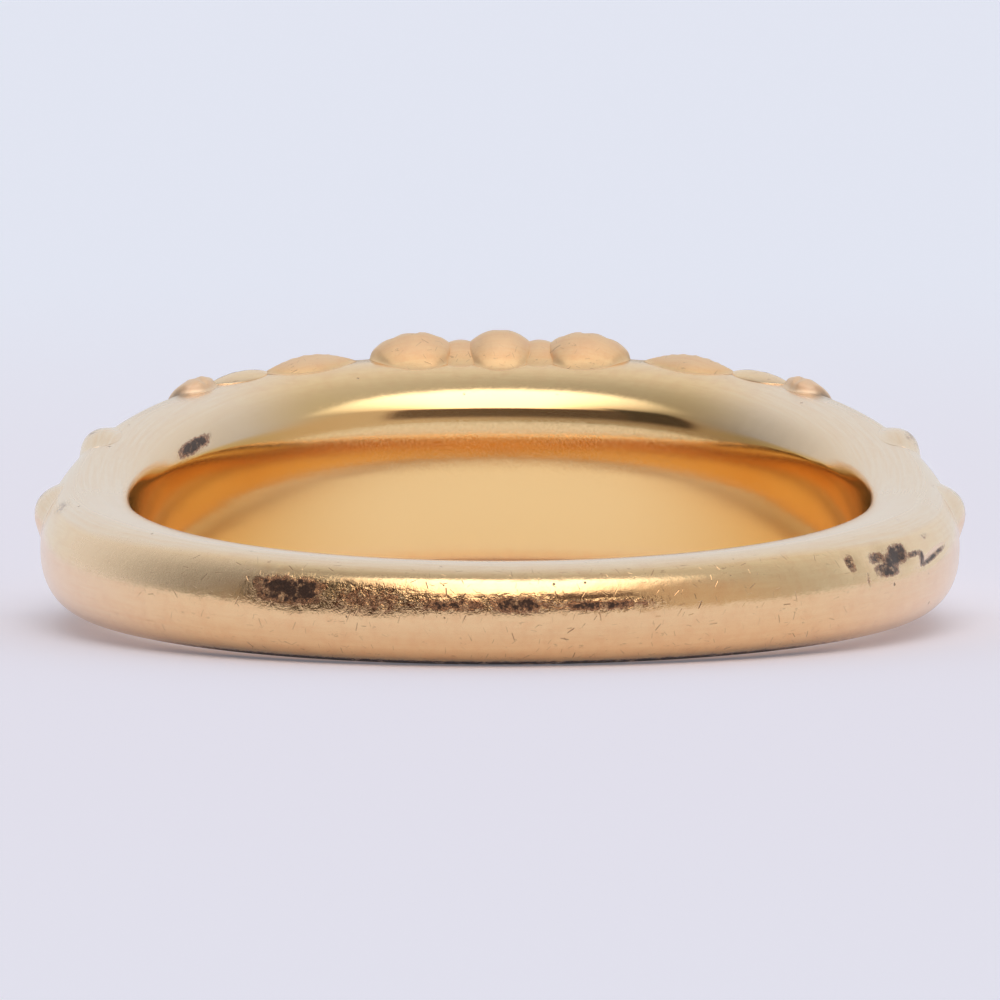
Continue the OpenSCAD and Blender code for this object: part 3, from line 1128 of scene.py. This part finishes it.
def light_tent(studio):
    """A world with pale walls, a soft light above and a dark opening in front of the ring."""
    world = bpy.data.worlds.new("Light Tent")
    world.use_nodes = True
    tree = world.node_tree
    tree.nodes.clear()
    x, y, z = split(tree, add_node(tree, "TexCoord").outputs["Generated"])
    forward = product(tree, y, -1)
    sideways, rise = maths(tree, "ARCTAN2", x, forward), maths(tree, "ARCSINE", z)
    wide = window(tree, sideways, rise, WIDE_OPENING)
    tall = window(tree, sideways, rise, TALL_OPENING)
    opening = highest(tree, product(tree, wide, WIDE_DARKNESS), product(tree, tall, TALL_DARKNESS))
    lamp = window(tree, maths(tree, "ARCTAN2", x, z), maths(tree, "ARCTAN2", forward, z), LAMP)
    left, right = (part * studio.tent_strength for part in FRONT)
    in_front = ramped(tree, x, -0.7, 0.7, left, right)
    walls = ramped(tree, forward, 0.2, -0.7, in_front, studio.tent_strength)
    light = total(tree, product(tree, lamp, studio.top_strength), walls)
    tent = add_node(tree, "Background")
    tint = mixed_colour(tree, ramped(tree, forward, 0, 0.6), studio.tent, studio.front)
    tent_colour = mixed_colour(tree, wide, tint, studio.opening)
    strength = product(tree, light, less(tree, 1, opening))
    fill(tree, tent, {"Color": tent_colour, "Strength": strength})
    seen = add_node(tree, "Background")
    seen.inputs["Color"].default_value = (*studio.backdrop, 1)
    chosen = add_node(tree, "MixShader")
    put(tree, chosen.inputs[0], add_node(tree, "LightPath").outputs["Is Camera Ray"])
    put(tree, chosen.inputs[1], tent.outputs[0])
    put(tree, chosen.inputs[2], seen.outputs[0])
    tree.links.new(chosen.outputs[0], add_node(tree, "OutputWorld").inputs["Surface"])
    return world


# Operators


class RING_OT_make_band(bpy.types.Operator):
    """Makes the plain band with its rounded bore edges and its dents"""

    bl_idname = "ring.make_band"
    bl_label = "Make Band"

    def execute(self, context):
        piece = make_band(context.scene, "band")
        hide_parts(NODE)
        return {"FINISHED"}


class RING_OT_make_cross(bpy.types.Operator):
    """Makes the raised leaves of the cross"""

    bl_idname = "ring.make_cross"
    bl_label = "Make Cross"

    def execute(self, context):
        make_leaves(context.scene, "cross", mirrored(CROSS, True), relief=True)
        return {"FINISHED"}


class RING_OT_make_flowers(bpy.types.Operator):
    """Makes the flower on each shoulder"""

    bl_idname = "ring.make_flowers"
    bl_label = "Make Shoulder Flowers"

    def execute(self, context):
        leaves = mirrored(flower(context.scene.ring_sizes), False)
        make_leaves(context.scene, "shoulder_flowers", leaves, relief=True)
        return {"FINISHED"}


class RING_OT_make_buds(bpy.types.Operator):
    """Makes the buds between the flowers and the shank, and a low leaf beside each flower"""

    bl_idname = "ring.make_buds"
    bl_label = "Make Buds"

    def execute(self, context):
        make_leaves(context.scene, "buds", mirrored(BUDS, False), relief=False)
        return {"FINISHED"}


class RING_OT_make_studio(bpy.types.Operator):
    """Makes the floor, the light tent and the camera"""

    bl_idname = "ring.make_studio"
    bl_label = "Make Studio"

    def execute(self, context):
        scene, studio = context.scene, context.scene.studio_settings
        turns = np.linspace(0, 2 * np.pi, FLOOR_CORNERS, endpoint=False)
        corners = [tuple(studio.floor_radius * np.array([math.cos(t), math.sin(t), 0])) for t in turns]
        mesh = bpy.data.meshes.new("floor")
        mesh.from_pydata(corners, [], [list(range(FLOOR_CORNERS))])
        mesh.materials.append(floor_material(studio))
        floor = bpy.data.objects.new("floor", mesh)
        scene.collection.objects.link(floor)
        scene.world = light_tent(studio)
        scene.view_settings.view_transform = "Standard"

        centre = Vector(BORE_CENTRE)
        height = studio.camera_height
        back = Vector((0, -math.cos(height), math.sin(height)))
        up = Vector((0, math.sin(height), math.cos(height)))
        lens = bpy.data.cameras.new("camera")
        lens.sensor_width = SENSOR_WIDTH
        lens.lens = studio.focal_length
        lens.clip_start = CLIP_START
        camera = bpy.data.objects.new("camera", lens)
        camera.location = centre + studio.camera_distance * back
        aim = centre + studio.aim_rise * up
        camera.rotation_euler = (aim - camera.location).to_track_quat("-Z", "Y").to_euler()
        scene.collection.objects.link(camera)
        scene.camera = camera
        return {"FINISHED"}


class RING_PT_panel(bpy.types.Panel):
    """The ring's sizes, finish and studio, with a button for each piece"""

    bl_label = "Floral Cross Ring"
    bl_space_type = "VIEW_3D"
    bl_region_type = "UI"
    bl_category = "Ring"

    def draw(self, context):
        for group_name in GROUPS:
            group, box = getattr(context.scene, group_name), self.layout.box()
            for name in group.__annotations__:
                box.prop(group, name)
        for operator in OPERATORS:
            self.layout.operator(operator.bl_idname)


OPERATORS = (
    RING_OT_make_band,
    RING_OT_make_cross,
    RING_OT_make_flowers,
    RING_OT_make_buds,
    RING_OT_make_studio,
)
GROUPS = {"ring_sizes": RingSizes, "ring_finish": RingFinish, "studio_settings": StudioSettings}
CLASSES = (*GROUPS.values(), *OPERATORS, RING_PT_panel)


def register():
    """Registers the classes and adds the settings to the scene."""
    for item in CLASSES:
        bpy.utils.register_class(item)
    for name, group in GROUPS.items():
        setattr(bpy.types.Scene, name, bpy.props.PointerProperty(type=group))


def unregister():
    """Removes the settings and the classes."""
    for name in GROUPS:
        delattr(bpy.types.Scene, name)
    for item in reversed(CLASSES):
        bpy.utils.unregister_class(item)


def main():
    """Makes every piece and the studio."""
    register()
    bpy.ops.ring.make_band()
    bpy.ops.ring.make_cross()
    bpy.ops.ring.make_flowers()
    bpy.ops.ring.make_buds()
    bpy.ops.ring.make_studio()


if __name__ == "__main__":
    main()
